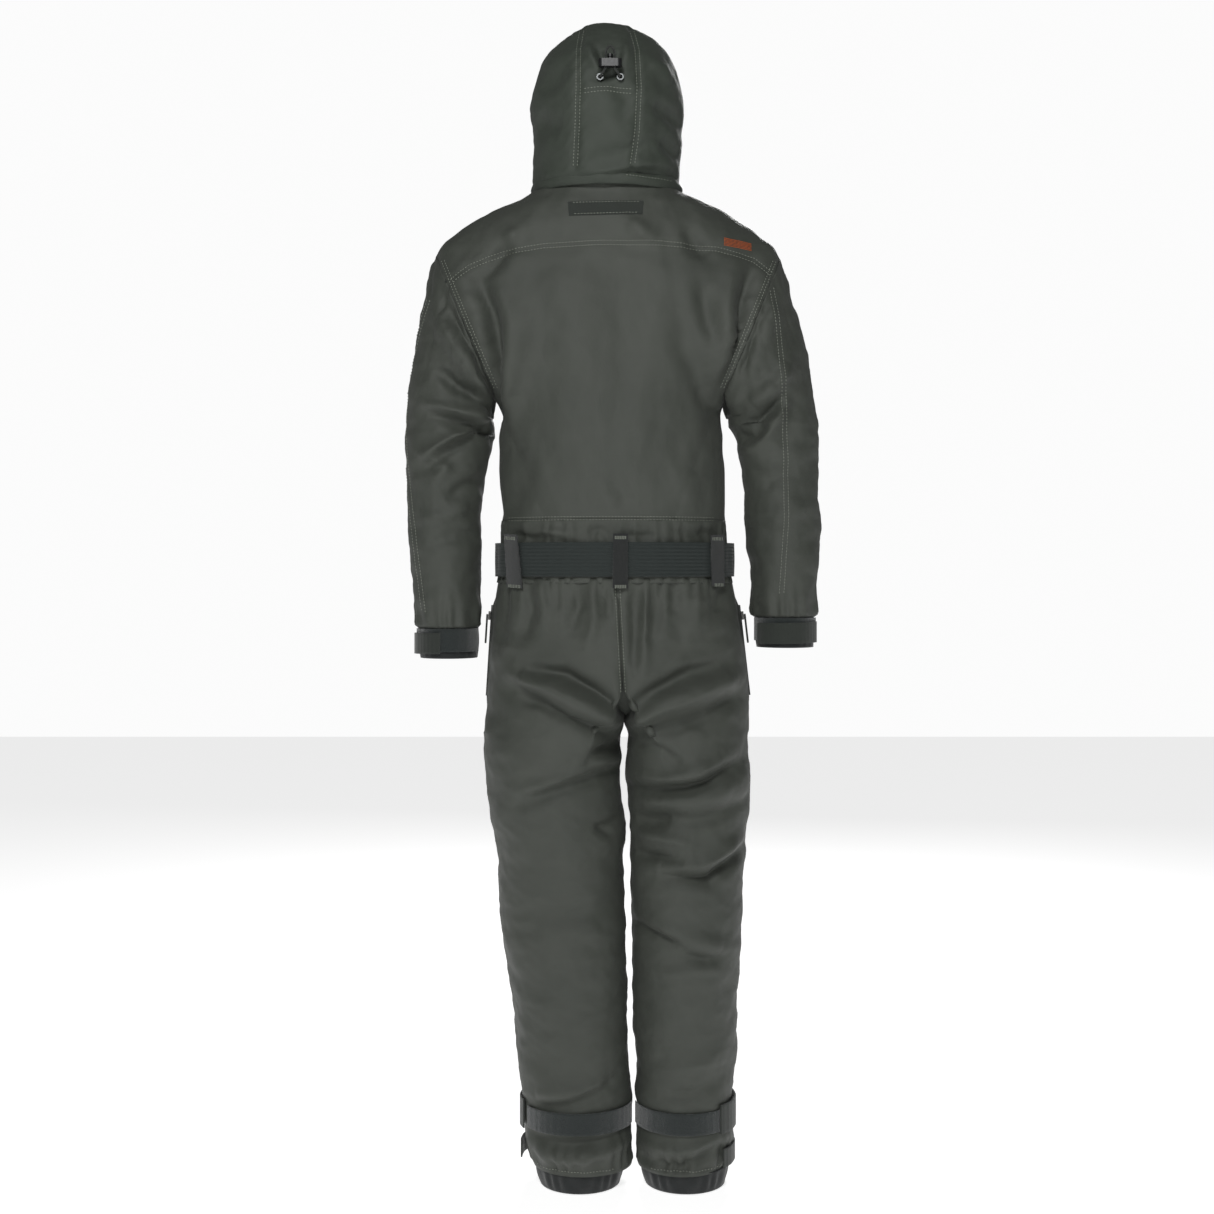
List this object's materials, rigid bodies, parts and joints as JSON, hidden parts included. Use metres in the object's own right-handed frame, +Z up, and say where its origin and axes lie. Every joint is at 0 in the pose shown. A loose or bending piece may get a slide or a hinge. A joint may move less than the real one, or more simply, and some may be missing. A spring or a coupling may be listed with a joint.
{
  "type": "insulated coverall",
  "caption": "Padded hooded one-piece coverall with a ribbed belt, long front zip, storm flap, hip pocket zips and hook-and-loop wrist and ankle tabs.",
  "frame": {"origin": "in the hanger loop inside the back of the collar, where a hook goes", "axes": "+Z up along the hanging suit, front faces -Y, +X towards the wearer's left"},
  "size_m": [0.6222, 0.2782, 1.718],
  "materials": {
    "shell": "padded satin-woven polyamide",
    "elastic": "ribbed elastic webbing",
    "binding": "folded shell fabric",
    "zip_tape": "woven tape with moulded teeth",
    "zip_metal": "black enamel",
    "cord": "braided elastic cord",
    "black_plastic": "moulded, semi-gloss",
    "eyelet_metal": "rolled, slightly dull",
    "stud_metal": "dark enamel",
    "loop_tape": "hook-and-loop, loop side",
    "tab_fabric": "stitched fabric tab",
    "hem_black": "coated hem reinforcement"
  },
  "bodies": {
    "torso": {"back_panel": "shell", "back_yoke": "shell", "belt": "elastic", "belt_loops": "binding", "buckle_frame": "black_plastic", "collar": "shell", "crotch_gusset": "shell", "front_left_panel": "shell", "front_right_panel": "shell", "hanger_loop": "binding", "neck_patch": "shell", "pocket_zip_left": "zip_tape", "pocket_zip_right": "zip_tape", "seat_left": "shell", "seat_right": "shell", "waistband_back": "shell", "zip_chain": "zip_tape", "zip_guard_left": "shell", "zip_guard_right": "shell"},
    "hood": {"hood_centre": "shell", "hood_left": "shell", "hood_right": "shell", "hood_eyelets": "eyelet_metal", "hood_cord": "cord", "cord_lock_body": "black_plastic"},
    "lock_button": {"cord_lock_button": "black_plastic"},
    "slider": {"zip_slider": "zip_metal"},
    "pull": {"zip_pull": "zip_metal"},
    "flap": {"storm_flap": "shell", "press_studs": "stud_metal"},
    "lever": {"buckle_lever": "black_plastic"},
    "left_pocket_slider": {"pocket_slider_left": "zip_metal"},
    "left_pocket_puller": {"pocket_puller_left": "cord"},
    "left_arm": {"sleeve_left": "shell", "cuff_left": "shell", "cuff_tape_left": "loop_tape"},
    "left_cuff_tab": {"cuff_tab_left": "tab_fabric"},
    "left_leg": {"leg_left": "shell", "hem_band_left": "hem_black", "calf_tape_left": "loop_tape"},
    "left_calf_tab": {"calf_tab_left": "tab_fabric"},
    "left_hem_tab": {"hem_tab_left": "tab_fabric"},
    "right_pocket_slider": {"pocket_slider_right": "zip_metal"},
    "right_pocket_puller": {"pocket_puller_right": "cord"},
    "right_arm": {"sleeve_right": "shell", "cuff_right": "shell", "cuff_tape_right": "loop_tape"},
    "right_cuff_tab": {"cuff_tab_right": "tab_fabric"},
    "right_leg": {"leg_right": "shell", "hem_band_right": "hem_black", "calf_tape_right": "loop_tape"},
    "right_calf_tab": {"calf_tab_right": "tab_fabric"},
    "right_hem_tab": {"hem_tab_right": "tab_fabric"}
  },
  "joints": [
    {"name": "hood_fold", "type": "hinge", "parent": "torso", "child": "hood", "pos_m": [0, 0.022, 0.0047], "axis": [-1, 0, 0], "range_deg": [0, 50]},
    {"name": "cord_lock_press", "type": "slide", "parent": "hood", "child": "lock_button", "axis": [0, 0, -1], "range_m": [0, 0.0028], "stiffness_N_per_m": 180},
    {"name": "front_zip", "type": "slide", "parent": "torso", "child": "slider", "axis": [0, 0, -1], "range_m": [0, 0.36]},
    {"name": "zip_pull_flip", "type": "hinge", "parent": "slider", "child": "pull", "pos_m": [0, -0.1989, -0.1125], "axis": [-1, 0, 0], "range_deg": [0, 150]},
    {"name": "storm_flap_open", "type": "hinge", "parent": "torso", "child": "flap", "pos_m": [0.029, -0.20355, -0.33], "axis": [0, 0, 1], "range_deg": [0, 150]},
    {"name": "buckle_lever_open", "type": "hinge", "parent": "torso", "child": "lever", "pos_m": [-0.019, -0.2021, -0.544], "axis": [0, 0, -1], "range_deg": [0, 100]},
    {"name": "left_pocket_zip", "type": "slide", "parent": "torso", "child": "left_pocket_slider", "axis": [0.0622, 0, -0.9981], "range_m": [0, 0.105]},
    {"name": "left_pocket_puller_swing", "type": "hinge", "parent": "left_pocket_slider", "child": "left_pocket_puller", "pos_m": [0.18046, -0.088, -0.62745], "axis": [0.9981, 0, 0.0622], "range_deg": [-60, 60]},
    {"name": "left_shoulder", "type": "hinge", "parent": "torso", "child": "left_arm", "pos_m": [0.20934, -0.076, -0.2015], "axis": [0.9232, 0, -0.3843], "range_deg": [-90, 30]},
    {"name": "left_hip", "type": "hinge", "parent": "torso", "child": "left_leg", "pos_m": [-0.01367, -0.07, -0.63], "axis": [-1, 0, 0], "range_deg": [-20, 55]},
    {"name": "left_cuff_tab_peel", "type": "hinge", "parent": "left_arm", "child": "left_cuff_tab", "pos_m": [0.24481, -0.02282, -0.668], "axis": [0, 0, 1], "range_deg": [0, 90]},
    {"name": "left_calf_tab_peel", "type": "hinge", "parent": "left_leg", "child": "left_calf_tab", "pos_m": [0.12082, -0.03848, -1.363], "axis": [0, 0, 1], "range_deg": [0, 90]},
    {"name": "left_hem_tab_peel", "type": "hinge", "parent": "left_leg", "child": "left_hem_tab", "pos_m": [0.12584, -0.06315, -1.422], "axis": [0, 0, 1], "range_deg": [0, 110]},
    {"name": "right_pocket_zip", "type": "slide", "parent": "torso", "child": "right_pocket_slider", "axis": [-0.113, 0, -0.9936], "range_m": [0, 0.105]},
    {"name": "right_pocket_puller_swing", "type": "hinge", "parent": "right_pocket_slider", "child": "right_pocket_puller", "pos_m": [-0.20766, -0.088, -0.62699], "axis": [-0.9936, 0, 0.113], "range_deg": [-60, 60]},
    {"name": "right_shoulder", "type": "hinge", "parent": "torso", "child": "right_arm", "pos_m": [-0.21466, -0.076, -0.2015], "axis": [-0.9232, 0, -0.3843], "range_deg": [-30, 90]},
    {"name": "right_hip", "type": "hinge", "parent": "torso", "child": "right_leg", "pos_m": [-0.01367, -0.07, -0.63], "axis": [-1, 0, 0], "range_deg": [-20, 55]},
    {"name": "right_cuff_tab_peel", "type": "hinge", "parent": "right_arm", "child": "right_cuff_tab", "pos_m": [-0.22325, -0.05179, -0.652], "axis": [0, 0, -1], "range_deg": [0, 90]},
    {"name": "right_calf_tab_peel", "type": "hinge", "parent": "right_leg", "child": "right_calf_tab", "pos_m": [-0.1652, -0.01055, -1.363], "axis": [0, 0, -1], "range_deg": [0, 90]},
    {"name": "right_hem_tab_peel", "type": "hinge", "parent": "right_leg", "child": "right_hem_tab", "pos_m": [-0.16969, -0.01741, -1.422], "axis": [0, 0, -1], "range_deg": [0, 110]}
  ]
}
